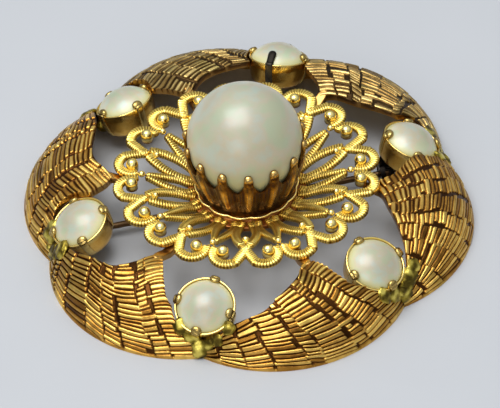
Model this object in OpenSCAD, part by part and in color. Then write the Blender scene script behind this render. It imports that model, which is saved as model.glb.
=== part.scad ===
// Pearl and filigree brooch: six domed petals, six tilted pearl cups,
// a dished filigree rosette, a crown cup with a large round pearl,
// and a hinged pin with a turning lock on the back.
// Millimetres. Origin on the centre axis, in the plane of the rims. +Z is the front.

/* [Petals] */
// Radius of the circle that shapes each petal's outer rim
rim_r = 16.7; // [16.5:0.1:16.9]
// Distance from the centre axis to the middle of the rim circle
rim_c = 11.3; // [11.1:0.1:11.5]
// Height of a petal's crest above the table
crest_h = 7.1; // [6.9:0.1:7.4]
// Distance of the crest from the middle of the rim circle
crest_at = 9; // [8.6:0.1:9.4]
// Thickness of the petal metal
petal_t = 1; // [0.8:0.1:1.2]
// Width of the openings that surround the side pearls, as a factor on their outlines
gap_wide = 1; // [0.98:0.01:1.02]
// Width of the neck that joins a petal's tip to the rosette
neck_w = 1.2; // [1.1:0.1:1.3]
// Turn of the whole front against the line of the pin, in degrees
front_turn = 3.9; // [0:0.1:8]

/* [Side pearls] */
// Radius of a side pearl
pearl_r = 3.4; // [3.3:0.05:3.45]
// Height of a side pearl's dome above its widest part
pearl_dome = 1.85; // [1.7:0.05:2.1]
// Distance of a side pearl's middle from the centre axis
cup_x = 21.3; // [21.1:0.1:21.4]
// Height of a side pearl's middle above the table
cup_z = 5.2; // [5.1:0.1:5.4]
// Outward tilt of the side cups, in degrees
cup_tilt = 24; // [22:1:25]
// Depth of a side cup below the pearl's widest part
cup_d = 3.3; // [3.2:0.1:3.4]
// Turn of the four prongs about the cup's axis, in degrees
prong_turn = -9; // [-45:1:45]

/* [Rosette] */
// Number of filigree units round the rosette
units = 10; // [10:1:10]
// Height of the rosette's top face
ros_z = 7; // [6.9:0.1:7.1]
// Thickness of the rosette
ros_t = 1; // [0.9:0.1:1.1]
// How far the middle of the rosette is dished below its edge
dish = 2.2; // [2:0.1:2.4]
// Width of a filigree strand
strand_w = 1.1; // [0.9:0.05:1.2]

/* [Centre] */
// Radius of the centre pearl
big_r = 7; // [6.9:0.05:7]
// Height of the centre pearl's middle
big_z = 12.4; // [12.4:0.1:12.6]
// Number of prongs on the crown cup
crown_n = 14; // [12:1:16]
// Width of a crown prong at its tip
crown_w = 1.2; // [0.9:0.1:1.4]

/* [Pin] */
// Height of the pin's axis above the table
pin_z = 1.45; // [1.4:0.05:1.5]
// Sideways offset of the pin from the centre axis
pin_y = 0.7; // [0.4:0.1:0.9]
// Radius of the pin stem
pin_r = 0.4; // [0.3:0.05:0.42]
// Distance of the hinge rivet from the centre axis
hinge_x = 18.6; // [18.5:0.1:18.7]
// Radius of the hinge rivet
rivet_r = 0.33; // [0.28:0.01:0.35]
// Running clearance of the pin's eye on the rivet
run = 0.03; // [0.02:0.01:0.05]
// Length of the pin's tapered point
point_l = 2.6; // [2.5:0.1:3]
// Where the catch barrel starts, from the centre axis
catch_x = 16.9; // [16.8:0.1:17]
// Length of the catch barrel
catch_l = 1.6; // [1.5:0.1:1.7]

/* [Hidden] */
$fn = 64;
gold = "goldenrod";
bright = "gold";
nacre = "ivory";
dark = "dimgray";
tip_r = 14.3;
unit_a = 360 / units;
// Sphere that the small pearl's dome is cut from
dome_R = (pearl_r * pearl_r + pearl_dome * pearl_dome) / (2 * pearl_dome);
cup_r = pearl_r + 0.3;
// The brooch was put together by hand: each side cup stands a little off its even place
cup_off = [[0, 0, 0], [0.45, 0.65, 0.95], [-0.2, -0.5, 0.1], [0, 0, 0], [0.6, -0.3, 0],
    [0.15, -0.65, 0]];
// Half widths of the six openings, at gap_at from the centre axis: on the side of the next petal
// and on the side of the one before
gap_at = [14, 17, 20, 22.5];
gap_next = [[10, 7.1, 4.3, 2.6], [9.7, 8.1, 3.4, 2.4], [10.4, 9.4, 5.6, 3.4],
    [9.5, 10.2, 9.7, 6], [9.9, 9.7, 8.4, 6.5], [8.4, 6.8, 5.1, 3.6]];
gap_prev = [[6.2, 6.2, 4.2, 2.9], [6.1, 5.5, 3.2, 2.6], [6.7, 5, 2.8, 2.2],
    [6.3, 3.7, 2.6, 2.4], [7.4, 6.5, 5.7, 4.6], [6.3, 6, 6, 5.3]];

// ---- petals ----
function top_z(p) = p <= crest_at
    ? crest_h - (crest_h - ros_z + ros_t) * pow(min(1, (crest_at - p) / 4.4), 2)
    : crest_h * pow(max(0, 1 - pow((p - crest_at) / (rim_r - crest_at), 2)), 2 / 3);
function in_z(p) = p <= crest_at ? top_z(p) - petal_t
    : (crest_h - petal_t) *
      pow(max(0, 1 - pow((p - crest_at) / (rim_r - petal_t - crest_at), 2)), 2 / 3);
steps = 14;
// Closer together towards the steep rim
function out_p(i) = crest_at + (rim_r - crest_at) * sin(90 * i / steps);
function inn_p(i) = crest_at + (rim_r - petal_t - crest_at) * sin(90 * i / steps);
near = [2, 4.6, 5.7, 6.8, 7.9];
shell = concat([for (p = near) [p, top_z(p)]],
    [for (i = [0:steps]) [out_p(i), top_z(out_p(i))]],
    [for (i = [steps:-1:0]) [inn_p(i), in_z(inn_p(i))]],
    [for (i = [len(near) - 1:-1:0]) [near[i], in_z(near[i])]]);

module to_cup(k) {
    rotate([0, 0, 60 * k]) translate([cup_x + cup_off[k][0], cup_off[k][1], cup_z + cup_off[k][2]])
        rotate([0, cup_tilt, 0]) children();
}
function gap_knots(k) = concat([[9, -gap_wide * gap_prev[k][0]]],
    [for (i = [0:3]) [gap_at[i], -gap_wide * gap_prev[k][i]]],
    [[24, -1.7], [24.45, 0.2], [24.45, 1.6]],
    [for (i = [3:-1:0]) [gap_at[i], gap_wide * gap_next[k][i]]], [[9, gap_wide * gap_next[k][0]]]);
// Smooth curve through the points of p, n steps between each two
function curve(p, n) = concat([for (i = [0:len(p) - 2]) let (a = p[max(0, i - 1)], b = p[i],
    c = p[i + 1], d = p[min(len(p) - 1, i + 2)]) for (j = [0:n - 1]) let (t = j / n)
    (2 * b + (c - a) * t + (2 * a - 5 * b + 4 * c - d) * t * t
     + (3 * b - a - 3 * c + d) * t * t * t) / 2], [p[len(p) - 1]]);
// One edge of opening k, as [distance from the centre axis, direction] of its points, from its
// inner end to its outermost point: s = 1 on the side of the next petal, -1 on the other
function gap_edge(k, s) = let (c = curve(gap_knots(k), 3), n = len(c))
    [for (i = [0:floor(n / 2)]) let (p = s > 0 ? c[n - 1 - i] : c[i]) [norm(p), atan2(p[1], p[0])]];
// Direction of a petal's tip, where the openings on its two sides meet
function tip_dir(k) = let (a = gap_edge(k, 1), b = gap_edge((k + 1) % 6, -1),
    open = [for (r = [12:0.05:20]) if (60 + lookup(r, b) < lookup(r, a)) r])
    lookup(max(open), a);
// The opening at side cup k
module gap_hole(k, z0, h) {
    rotate([0, 0, 60 * k]) translate([0, 0, z0]) linear_extrude(height = h)
        polygon(curve(gap_knots(k), 3));
}
module petal(k) {
    n = (k + 1) % 6;
    rotate([0, 0, front_turn]) difference() {
        intersection() {
            rotate([0, 0, 60 * k + 30]) translate([rim_c, 0, 0]) rotate_extrude() polygon(shell);
            rotate([0, 0, 60 * k]) translate([0, 0, -1]) linear_extrude(height = 12)
                polygon([[0, 0], [40, 0], [40 * cos(60), 40 * sin(60)]]);
        }
        difference() {
            union() {
                gap_hole(k, -2, 14);
                gap_hole(n, -2, 14);
            }
            rotate([0, 0, 60 * k + tip_dir(k)]) translate([12, -neck_w / 2, -3]) cube([7, neck_w, 16]);
        }
        translate([0, 0, -2]) cylinder(r = tip_r, h = 14);
        to_cup(k) translate([0, 0, -cup_d - 0.05]) cylinder(r = cup_r + 0.2, h = 12);
        to_cup(n) translate([0, 0, -cup_d - 0.05]) cylinder(r = cup_r + 0.2, h = 12);
    }
}
module petal_1() { color(gold) petal(0); }
module petal_2() { color(gold) petal(1); }
module petal_3() { color(gold) petal(2); }
module petal_4() { color(gold) petal(3); }
module petal_5() { color(gold) petal(4); }
module petal_6() { color(gold) petal(5); }

// ---- rosette ----
// Ring sector, from angle a0 to a1 about its own centre
module arc(r, w, a0, a1) {
    R = 2 * r + w;
    n = 8;
    difference() {
        intersection() {
            circle(r = r + w / 2);
            polygon(concat([[0, 0]],
                [for (i = [0:n]) let (a = a0 + (a1 - a0) * i / n) [R * cos(a), R * sin(a)]]));
        }
        circle(r = r - w / 2);
    }
}
scroll_x = 13.95;
scroll_y = 2.15;
scroll_r = 1.7;
// Ball at the inner end of each scroll, joined to the scroll's inner side
ball_y = 1.68;
ball_r = 0.74;
// One unit, its middle along +X
module unit_2d() {
    for (s = [-1, 1]) {
        translate([scroll_x, s * scroll_y]) mirror([0, s < 0 ? 1 : 0])
            arc(scroll_r, strand_w, -135, 112);
        translate([scroll_x, s * ball_y]) circle(r = ball_r + 0.02);
        // strand from the ring out to the scroll, seen from the crossing line
        rotate([0, 0, s * unit_a / 2]) translate([9.4, -s * 4.95]) mirror([0, s < 0 ? 1 : 0])
            arc(6.2, strand_w, 43, 113);
    }
    difference() {
        polygon([[7, -1.1], [7, 1.1], [8.5, 1.35], [12.5, 0.25], [12.5, -0.25], [8.5, -1.35]]);
        polygon([[8.1, -0.4], [8.1, 0.4], [9.3, 0]]);
    }
    translate([12.7, 0]) circle(r = 0.34);
}
module rosette_2d() {
    difference() {
        circle(r = 7.35);
        circle(r = 2.4);
    }
    for (k = [0:units - 1]) rotate([0, 0, unit_a * (k + 0.5)]) {
        unit_2d();
        rotate([0, 0, unit_a / 2]) translate([11.6, 0]) circle(r = 0.34);
    }
}
module filigree_rosette() {
    color(bright) rotate([0, 0, front_turn]) {
        intersection() {
            linear_extrude(height = 12) rosette_2d();
            rotate_extrude() polygon([[1, ros_z - dish - ros_t], [7.35, ros_z - dish - ros_t],
                [12.3, ros_z - ros_t], [18, ros_z - ros_t], [18, ros_z], [12.3, ros_z],
                [7.35, ros_z - dish], [1, ros_z - dish]]);
        }
        for (k = [0:units - 1], s = [-1, 1]) rotate([0, 0, unit_a * (k + 0.5)])
            translate([scroll_x, s * ball_y, ros_z - 0.05]) sphere(r = ball_r);
    }
}

// ---- crown cup and centre pearl ----
base_z = ros_z - dish;
crown_pts = [[0, base_z], [6.1, base_z], [6.1, base_z + 0.45], [5.6, base_z + 0.45],
    [6.1, 6.5], [6.7, 8], [7.2, 9.9], [7.45, 12.2], [7.35, 12.9], [7.03, 12.9],
    [7.03, 11.8], [6.75, 9.9], [6.2, 8], [5.5, 6.4], [4.8, base_z + 0.55], [0, base_z + 0.55]];
module crown_cup() {
    color(bright) rotate([0, 0, front_turn - 104]) difference() {
        rotate_extrude() polygon(crown_pts);
        for (k = [0:crown_n - 1]) rotate([0, 0, 360 / crown_n * (k + 0.5)])
            translate([6, 0, 0]) rotate([90, 0, 90]) linear_extrude(height = 3)
                polygon(slot_pts(PI * 7.4 / crown_n - crown_w / 2));
    }
}
function slot_pts(h) = [[-h, 14], [-h, 11.2], [-h * 0.55, 10.1], [0, 9.4],
    [h * 0.55, 10.1], [h, 11.2], [h, 14]];
module center_pearl() { color(nacre) translate([0, 0, big_z]) sphere(r = big_r); }

// ---- side cups and pearls ----
// The cup's axis is +Z here and the pearl's widest part is at z = 0
cup_pts = [[0, -cup_d], [2.8, -cup_d], [3.1, 0.35 - cup_d], [3.4, 1.1 - cup_d],
    [cup_r - 0.06, -0.8], [cup_r, 0.15], [pearl_r + 0.03, 0.15], [pearl_r + 0.03, -1.5],
    [2.6, -1.5], [2.6, 0.4 - cup_d], [0, 0.4 - cup_d]];
module side_cup(k) {
    color(gold) rotate([0, 0, front_turn]) to_cup(k) {
        rotate_extrude() polygon(cup_pts);
        for (a = [0:90:270]) rotate([0, 0, a + prong_turn]) intersection() {
            translate([2.7, -0.5, -0.8]) cube([1.15, 1, 3]);
            difference() {
                union() {
                    translate([0, 0, pearl_dome - dome_R]) sphere(r = dome_R + 0.45);
                    translate([0, 0, -0.8]) cylinder(r = cup_r + 0.12, h = 0.9);
                }
                translate([0, 0, pearl_dome - dome_R]) sphere(r = dome_R + 0.02);
                translate([0, 0, -2]) cylinder(r = pearl_r + 0.03, h = 2.15);
            }
        }
    }
}
module side_pearl(k) {
    color(nacre) rotate([0, 0, front_turn]) to_cup(k) intersection() {
        translate([0, 0, pearl_dome - dome_R]) sphere(r = dome_R);
        translate([0, 0, -1.5]) cylinder(r = pearl_r, h = 4);
    }
}
module side_cup_1() { side_cup(0); }
module side_cup_2() { side_cup(1); }
module side_cup_3() { side_cup(2); }
module side_cup_4() { side_cup(3); }
module side_cup_5() { side_cup(4); }
module side_cup_6() { side_cup(5); }
module side_pearl_1() { side_pearl(0); }
module side_pearl_2() { side_pearl(1); }
module side_pearl_3() { side_pearl(2); }
module side_pearl_4() { side_pearl(3); }
module side_pearl_5() { side_pearl(4); }
module side_pearl_6() { side_pearl(5); }

// Solder between each cup and the ends of the two petals beside it
module cup_solder_joints() {
    color("khaki") rotate([0, 0, front_turn]) for (k = [0:5]) difference() {
        intersection() {
            rotate([0, 0, 60 * k]) translate([22.2, -1.7, 0.7]) cube([3.2, 3.6, 1.7 + cup_off[k][2]]);
            gap_hole(k, 0, 6);
        }
        to_cup(k) rotate_extrude() polygon([for (i = [0:5]) cup_pts[i], [0, 0.15]]);
    }
}

// ---- pin, hinge and catch ----
eye_r = 0.75;
eye_w = 1;
ear_r = 0.7;
ear_t = 0.5;
gap = 0.05;
// Moves children to the underside of a side cup, +Z along the cup's axis
module under_cup(k) {
    rotate([0, 0, front_turn]) to_cup(k) translate([0, 0, -cup_d]) children();
}
module hinge_bracket() {
    color(dark) {
        difference() {
            union() {
                for (s = [-1, 1])
                    translate([-hinge_x, pin_y + s * (eye_w + ear_t + 2 * gap) / 2, pin_z])
                    rotate([90, 0, 0]) {
                        cylinder(r = ear_r, h = ear_t, center = true);
                        translate([-ear_r, 0, -ear_t / 2]) cube([2 * ear_r, 1.5, ear_t]);
                    }
            }
            under_cup(3) translate([-6, -6, -0.2]) cube([12, 12, 6]);
            translate([-hinge_x, pin_y, pin_z]) rotate([90, 0, 0])
                cylinder(r = rivet_r, h = 6, center = true);
        }
        under_cup(3) translate([-2.3, -2.9, -0.36]) cube([2.2, 3.7, 0.36]);
    }
}
module hinge_rivet() {
    color("silver") translate([-hinge_x, pin_y, pin_z]) rotate([90, 0, 0]) {
        cylinder(r = rivet_r, h = eye_w + 2 * ear_t + 2 * gap, center = true);
        for (s = [-1, 1]) translate([0, 0, s * (eye_w / 2 + ear_t + gap + 0.125)])
            cylinder(r = 0.55, h = 0.25, center = true);
    }
}
module pin_stem() {
    tip = 19.3;
    color("silver") difference() {
        union() {
            translate([-hinge_x, pin_y, pin_z]) rotate([90, 0, 0])
                cylinder(r = eye_r, h = eye_w, center = true);
            translate([-hinge_x, pin_y, pin_z]) rotate([0, 90, 0])
                cylinder(r = pin_r, h = hinge_x + tip - point_l);
            translate([tip - point_l, pin_y, pin_z]) rotate([0, 90, 0])
                cylinder(r1 = pin_r, r2 = 0.06, h = point_l);
        }
        translate([-hinge_x, pin_y, pin_z]) rotate([90, 0, 0])
            cylinder(r = rivet_r + run, h = 3, center = true);
    }
}
module to_catch() { translate([catch_x, pin_y, pin_z]) rotate([90, 0, 90]) children(); }
lock_r = 0.94;
barrel_in = lock_r + 0.04;
barrel_out = 1.35;
lever_at = 215;
lock_turn = 80;
module catch_body() {
    slit = 0.5;
    color(dark) {
        difference() {
            union() {
                to_catch() cylinder(r = barrel_out, h = catch_l);
                // web up to the mounting plate, clear of the lever's sweep
                translate([catch_x, pin_y - 0.15, pin_z]) cube([catch_l, 1.35, 2.2]);
            }
            under_cup(0) translate([-8, -8, -0.2]) cube([16, 16, 6]);
            to_catch() translate([0, 0, -1]) cylinder(r = barrel_in, h = catch_l + 2);
            to_catch() translate([-0.6, -3, -1]) cube([1.2, 3, catch_l + 2]);
            // slit that the lever runs in
            to_catch() translate([0, 0, (catch_l - slit) / 2]) linear_extrude(height = slit)
                polygon(concat([[0, 0]], [for (i = [0:8]) let (a = 124 + (240 - 124) * i / 8)
                    [3 * cos(a), 3 * sin(a)]]));
        }
        under_cup(0) translate([-2.6, -1.2, -0.3]) cube([2.4, 2.2, 0.3]);
    }
}
module catch_lock() {
    len = catch_l - 0.1;
    color("silver") to_catch() translate([0, 0, 0.05]) difference() {
        union() {
            cylinder(r = lock_r, h = len);
            rotate([0, 0, lever_at]) translate([0.5, -0.22, len / 2 - 0.2]) cube([1.25, 0.44, 0.4]);
        }
        translate([0, 0, -1]) cylinder(r = 0.55, h = len + 2);
        translate([-0.5, -3, -1]) cube([1, 3, len + 2]);
    }
}

petal_1();
petal_2();
petal_3();
petal_4();
petal_5();
petal_6();
filigree_rosette();
crown_cup();
center_pearl();
side_cup_1();
side_cup_2();
side_cup_3();
side_cup_4();
side_cup_5();
side_cup_6();
side_pearl_1();
side_pearl_2();
side_pearl_3();
side_pearl_4();
side_pearl_5();
side_pearl_6();
cup_solder_joints();
hinge_bracket();
hinge_rivet();
pin_stem();
catch_body();
catch_lock();
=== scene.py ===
"""Looks of a pearl and filigree brooch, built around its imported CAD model."""
import math
import random

import bmesh
import bpy
import numpy as np
from mathutils import Matrix, Vector, noise


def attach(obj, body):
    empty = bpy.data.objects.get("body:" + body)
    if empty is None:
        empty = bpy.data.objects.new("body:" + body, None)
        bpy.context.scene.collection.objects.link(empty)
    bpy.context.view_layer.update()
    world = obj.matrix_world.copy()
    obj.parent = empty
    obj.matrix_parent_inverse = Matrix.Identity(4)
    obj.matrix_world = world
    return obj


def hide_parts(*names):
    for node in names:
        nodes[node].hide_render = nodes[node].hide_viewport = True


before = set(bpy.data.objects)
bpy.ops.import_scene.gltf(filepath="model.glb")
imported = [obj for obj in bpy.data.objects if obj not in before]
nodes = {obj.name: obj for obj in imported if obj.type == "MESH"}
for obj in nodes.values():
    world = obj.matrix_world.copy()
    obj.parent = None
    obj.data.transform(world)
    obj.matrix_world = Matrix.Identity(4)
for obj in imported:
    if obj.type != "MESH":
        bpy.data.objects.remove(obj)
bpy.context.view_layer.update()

MM = 0.001

# ---- sizes shared with the CAD model, in millimetres and degrees ----
FRONT_TURN = 3.9
RIM_R, RIM_C = 16.7, 11.3
CREST_H, CREST_AT, PETAL_T = 7.1, 9.0, 1.0
GAP_AT = (14, 17, 20, 22.5)
GAP_NEXT = ((10, 7.1, 4.3, 2.6), (9.7, 8.1, 3.4, 2.4), (10.4, 9.4, 5.6, 3.4),
            (9.5, 10.2, 9.7, 6), (9.9, 9.7, 8.4, 6.5), (8.4, 6.8, 5.1, 3.6))
GAP_PREV = ((6.2, 6.2, 4.2, 2.9), (6.1, 5.5, 3.2, 2.6), (6.7, 5, 2.8, 2.2),
            (6.3, 3.7, 2.6, 2.4), (7.4, 6.5, 5.7, 4.6), (6.3, 6, 6, 5.3))
TIP_R, NECK_W = 14.3, 1.2
CUP_OFF = ((0, 0, 0), (0.45, 0.65, 0.95), (-0.2, -0.5, 0.1), (0, 0, 0), (0.6, -0.3, 0),
           (0.15, -0.65, 0))
CUP_X, CUP_Z, CUP_TILT, CUP_D = 21.3, 5.2, 24.0, 3.3
PEARL_R, PEARL_DOME, CUP_R = 3.4, 1.85, 3.7
PRONG_TURN = -9.0
ROS_Z, ROS_T, DISH, UNITS = 7.0, 1.0, 2.2, 10
SCROLL_X, SCROLL_Y, SCROLL_R, BALL_Y, BALL_R = 13.95, 2.15, 1.7, 1.68, 0.74
BIG_R, BIG_Z, CROWN_N, CROWN_TURN = 7.0, 12.4, 14, -104.0


# ---- mesh helpers ----
def make_object(name, verts, faces, materials, face_mats=None, sharp=True):
    """A smooth-shaded mesh object from points in millimetres, its edges sharp between materials."""
    mesh = bpy.data.meshes.new(name)
    mesh.from_pydata([tuple(c * MM for c in v) for v in verts], [], faces)
    for m in materials:
        mesh.materials.append(m)
    mesh.polygons.foreach_set("use_smooth", [True] * len(faces))
    if face_mats is not None:
        mesh.polygons.foreach_set("material_index", face_mats)
    bm = bmesh.new()
    bm.from_mesh(mesh)
    bmesh.ops.recalc_face_normals(bm, faces=bm.faces)
    if sharp and face_mats is not None:
        for e in bm.edges:
            sides = [f.material_index for f in e.link_faces]
            if len(sides) == 2 and sides[0] != sides[1]:
                e.smooth = False
    bm.to_mesh(mesh)
    bm.free()
    obj = bpy.data.objects.new(name, mesh)
    bpy.context.scene.collection.objects.link(obj)
    return obj


def set_attribute(obj, name, values):
    """A float on each vertex, for a material to read."""
    layer = obj.data.attributes.new(name, "FLOAT", "POINT")
    layer.data.foreach_set("value", np.asarray(values, np.float32))


class Build:
    """Collects several closed shapes into one mesh."""

    def __init__(self):
        self.verts, self.faces, self.mats, self.relief = [], [], [], []

    def add(self, verts, faces, mat=0, relief=None):
        base = len(self.verts)
        self.verts += [tuple(v) for v in verts]
        self.faces += [tuple(i + base for i in f) for f in faces]
        self.mats += [mat] * len(faces)
        self.relief += [1.0] * len(verts) if relief is None else list(relief)

    def object(self, name, materials, sharp=True):
        obj = make_object(name, self.verts, self.faces, materials, self.mats, sharp)
        set_attribute(obj, "relief", self.relief)
        return obj


def grid_faces(rows, cols, close_rows=False, close_cols=False):
    """Quads of a rows by cols grid of points."""
    faces = []
    for i in range(rows if close_rows else rows - 1):
        for j in range(cols if close_cols else cols - 1):
            a, b = i * cols, (i + 1) % rows * cols
            k = (j + 1) % cols
            faces.append((a + j, b + j, b + k, a + k))
    return faces


def tube_faces(rows, around):
    """Faces of a tube of points with both ends closed."""
    ends = (rows - 1) * around
    return (grid_faces(rows, around, False, True)
            + [tuple(range(around))[::-1], tuple(range(ends, ends + around))])


def lathe(profile, n):
    """A closed profile of (r, z) turned about Z."""
    pts = [(r * math.cos(a), r * math.sin(a), z)
           for a in np.linspace(0, 2 * math.pi, n, endpoint=False) for r, z in profile]
    return pts, grid_faces(n, len(profile), True, True)


def lathe_capped(profile, n):
    """An open profile of (r, z) whose ends are on the axis."""
    inner = profile[1:-1]
    pts = [(r * math.cos(a), r * math.sin(a), z)
           for a in np.linspace(0, 2 * math.pi, n, endpoint=False) for r, z in inner]
    m = len(inner)
    faces = grid_faces(n, m, True, False)
    pts += [(0, 0, profile[0][1]), (0, 0, profile[-1][1])]
    for i in range(n):
        k = (i + 1) % n
        faces.append((n * m, k * m, i * m))
        faces.append((n * m + 1, i * m + m - 1, k * m + m - 1))
    return pts, faces


def rounded(points, radius, steps=3):
    """A closed outline of (x, y) with each corner rounded by up to radius."""
    out = []
    n = len(points)
    for i in range(n):
        p = np.array(points[i], float)
        a, b = np.array(points[i - 1], float) - p, np.array(points[(i + 1) % n], float) - p
        la, lb = np.linalg.norm(a), np.linalg.norm(b)
        cut = min(radius, la * 0.45, lb * 0.45)
        p0, p1 = p + a / la * cut, p + b / lb * cut
        for t in np.linspace(0, 1, steps + 1):
            out.append(tuple((1 - t) ** 2 * p0 + 2 * t * (1 - t) * p + t * t * p1))
    return out


def ball(centre, radius, n=16, m=10):
    """A round bead."""
    prof = [(radius * math.sin(t), -radius * math.cos(t)) for t in np.linspace(0, math.pi, m)]
    pts, faces = lathe_capped(prof, n)
    return [(x + centre[0], y + centre[1], z + centre[2]) for x, y, z in pts], faces


def turn(points, degrees):
    """Points turned about Z."""
    a = math.radians(degrees)
    c, s = math.cos(a), math.sin(a)
    return [(c * p[0] - s * p[1], s * p[0] + c * p[1], p[2]) for p in points]


def cup_matrix(k):
    """From a side cup's own frame, its axis up, to the brooch's."""
    return (Matrix.Rotation(math.radians(FRONT_TURN + 60 * k), 4, "Z")
            @ Matrix.Translation(Vector((CUP_X, 0, CUP_Z)) + Vector(CUP_OFF[k]))
            @ Matrix.Rotation(math.radians(CUP_TILT), 4, "Y"))


def moved(points, matrix):
    return [tuple(matrix @ Vector(p)) for p in points]


def spline(p, n):
    """A smooth curve through all but the first and last of p, n points to a stretch."""
    out = []
    for i in range(1, len(p) - 2):
        for t in np.arange(n) / n:
            out.append(0.5 * (2 * p[i] + (p[i + 1] - p[i - 1]) * t
                              + (2 * p[i - 1] - 5 * p[i] + 4 * p[i + 1] - p[i + 2]) * t * t
                              + (3 * p[i] - p[i - 1] - 3 * p[i + 1] + p[i + 2]) * t ** 3))
    return np.array(out)


def resample(path, step):
    """Points along a path, about step apart, on a smooth curve through the given ones."""
    p = np.array(path, float)
    p = np.vstack([2 * p[0] - p[1], p, 2 * p[-1] - p[-2]])
    fine = np.vstack([spline(p, 12), p[-2:-1]])
    d = np.r_[0, np.cumsum(np.linalg.norm(np.diff(fine, axis=0), axis=1))]
    n = max(3, int(round(d[-1] / step)) + 1)
    s = np.linspace(0, d[-1], n)
    return np.c_[[np.interp(s, d, fine[:, i]) for i in range(fine.shape[1])]].T, s


# ---- node materials ----
class Nodes:
    """Short ways to write a node material."""

    def __init__(self, name):
        self.mat = bpy.data.materials.new(name)
        self.mat.use_nodes = True
        self.tree = self.mat.node_tree
        self.shader = self.tree.nodes["Principled BSDF"]
        self.coords = self.tree.nodes.new("ShaderNodeTexCoord").outputs["Object"]

    def new(self, kind, **values):
        node = self.tree.nodes.new("ShaderNode" + kind)
        for key, value in values.items():
            setattr(node, key, value)
        return node

    def link(self, a, b):
        self.tree.links.new(a, b)

    def set(self, **values):
        for key, value in values.items():
            self.shader.inputs[key.replace("_", " ")].default_value = value

    def noise(self, size_mm, detail=4, rough=0.6):
        n = self.new("TexNoise")
        n.inputs["Scale"].default_value = 1 / (size_mm * MM)
        n.inputs["Detail"].default_value = detail
        n.inputs["Roughness"].default_value = rough
        self.link(self.coords, n.inputs["Vector"])
        return n.outputs["Fac"]

    def ramp(self, fac, stops):
        r = self.new("ValToRGB")
        while len(r.color_ramp.elements) < len(stops):
            r.color_ramp.elements.new(0.5)
        for e, (at, colour) in zip(r.color_ramp.elements, stops):
            e.position = at
            e.color = (*colour, 1)
        self.link(fac, r.inputs["Fac"])
        return r.outputs["Color"]

    def attribute(self, name):
        return self.new("Attribute", attribute_name=name).outputs["Fac"]

    def math(self, op, a, b):
        m = self.new("Math", operation=op)
        for socket, value in zip(m.inputs, (a, b)):
            if isinstance(value, (int, float)):
                socket.default_value = value
            else:
                self.link(value, socket)
        return m.outputs[0]

    def mix(self, fac, a, b, blend="MIX"):
        m = self.new("Mix", data_type="RGBA", blend_type=blend)
        if isinstance(fac, (int, float)):
            m.inputs["Factor"].default_value = fac
        else:
            self.link(fac, m.inputs["Factor"])
        for key, value in (("A", a), ("B", b)):
            socket = [s for s in m.inputs if s.name == key and s.type == "RGBA"][0]
            if isinstance(value, tuple):
                socket.default_value = (*value, 1)
            else:
                self.link(value, socket)
        return [s for s in m.outputs if s.type == "RGBA"][0]

    def colour(self, socket):
        self.link(socket, self.shader.inputs["Base Color"])

    def rough(self, fac, low, high):
        m = self.new("MapRange")
        m.inputs["To Min"].default_value = low
        m.inputs["To Max"].default_value = high
        self.link(fac, m.inputs["Value"])
        self.link(m.outputs[0], self.shader.inputs["Roughness"])

    def bump(self, height, depth_mm):
        b = self.new("Bump")
        b.inputs["Strength"].default_value = 1.0
        b.inputs["Distance"].default_value = depth_mm * MM
        self.link(height, b.inputs["Height"])
        self.link(b.outputs["Normal"], self.shader.inputs["Normal"])


def metal(name, dark, mid, bright, wear_mm, rough, bump_mm=0.02, low=0.25, high=0.8, tone=0.0):
    """Gilt brass, its colour set by each vertex's relief: bright where it stands proud, brown where it
    is recessed, partly from age and partly as painted shade; on some parts the relief also carries
    painted light and shade.

    low and high are the relief at which dark ends and bright begins; tone is how much each bar of
    the bark differs from its neighbours."""
    n = Nodes(name)
    n.set(Metallic=1.0)
    age = n.noise(wear_mm, 5, 0.65)
    fine = n.noise(0.12, 3, 0.6)
    level = n.math("ADD", n.attribute("relief"), n.math("MULTIPLY", n.math("SUBTRACT", age, 0.5), 0.7))
    if tone:
        level = n.math("ADD", level, n.math("MULTIPLY", n.attribute("tone"), tone))
    colour = n.ramp(level, [(0.0, dark), (low, dark), ((low + high) / 2, mid), (high, bright)])
    if tone:
        patina = n.ramp(n.noise(5.5, 3, 0.7), [(0.54, (1, 1, 1)), (0.68, (0.62, 0.66, 0.60))])
        colour = n.mix(1.0, colour, patina, "MULTIPLY")
    n.colour(n.mix(0.25, colour, n.ramp(fine, [(0.3, dark), (0.7, bright)]), "SOFT_LIGHT"))
    n.rough(n.math("MULTIPLY", n.math("ADD", age, fine), 0.5), rough[1], rough[0])
    n.bump(n.math("ADD", fine, n.noise(0.5, 2)), bump_mm)
    return n.mat


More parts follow.
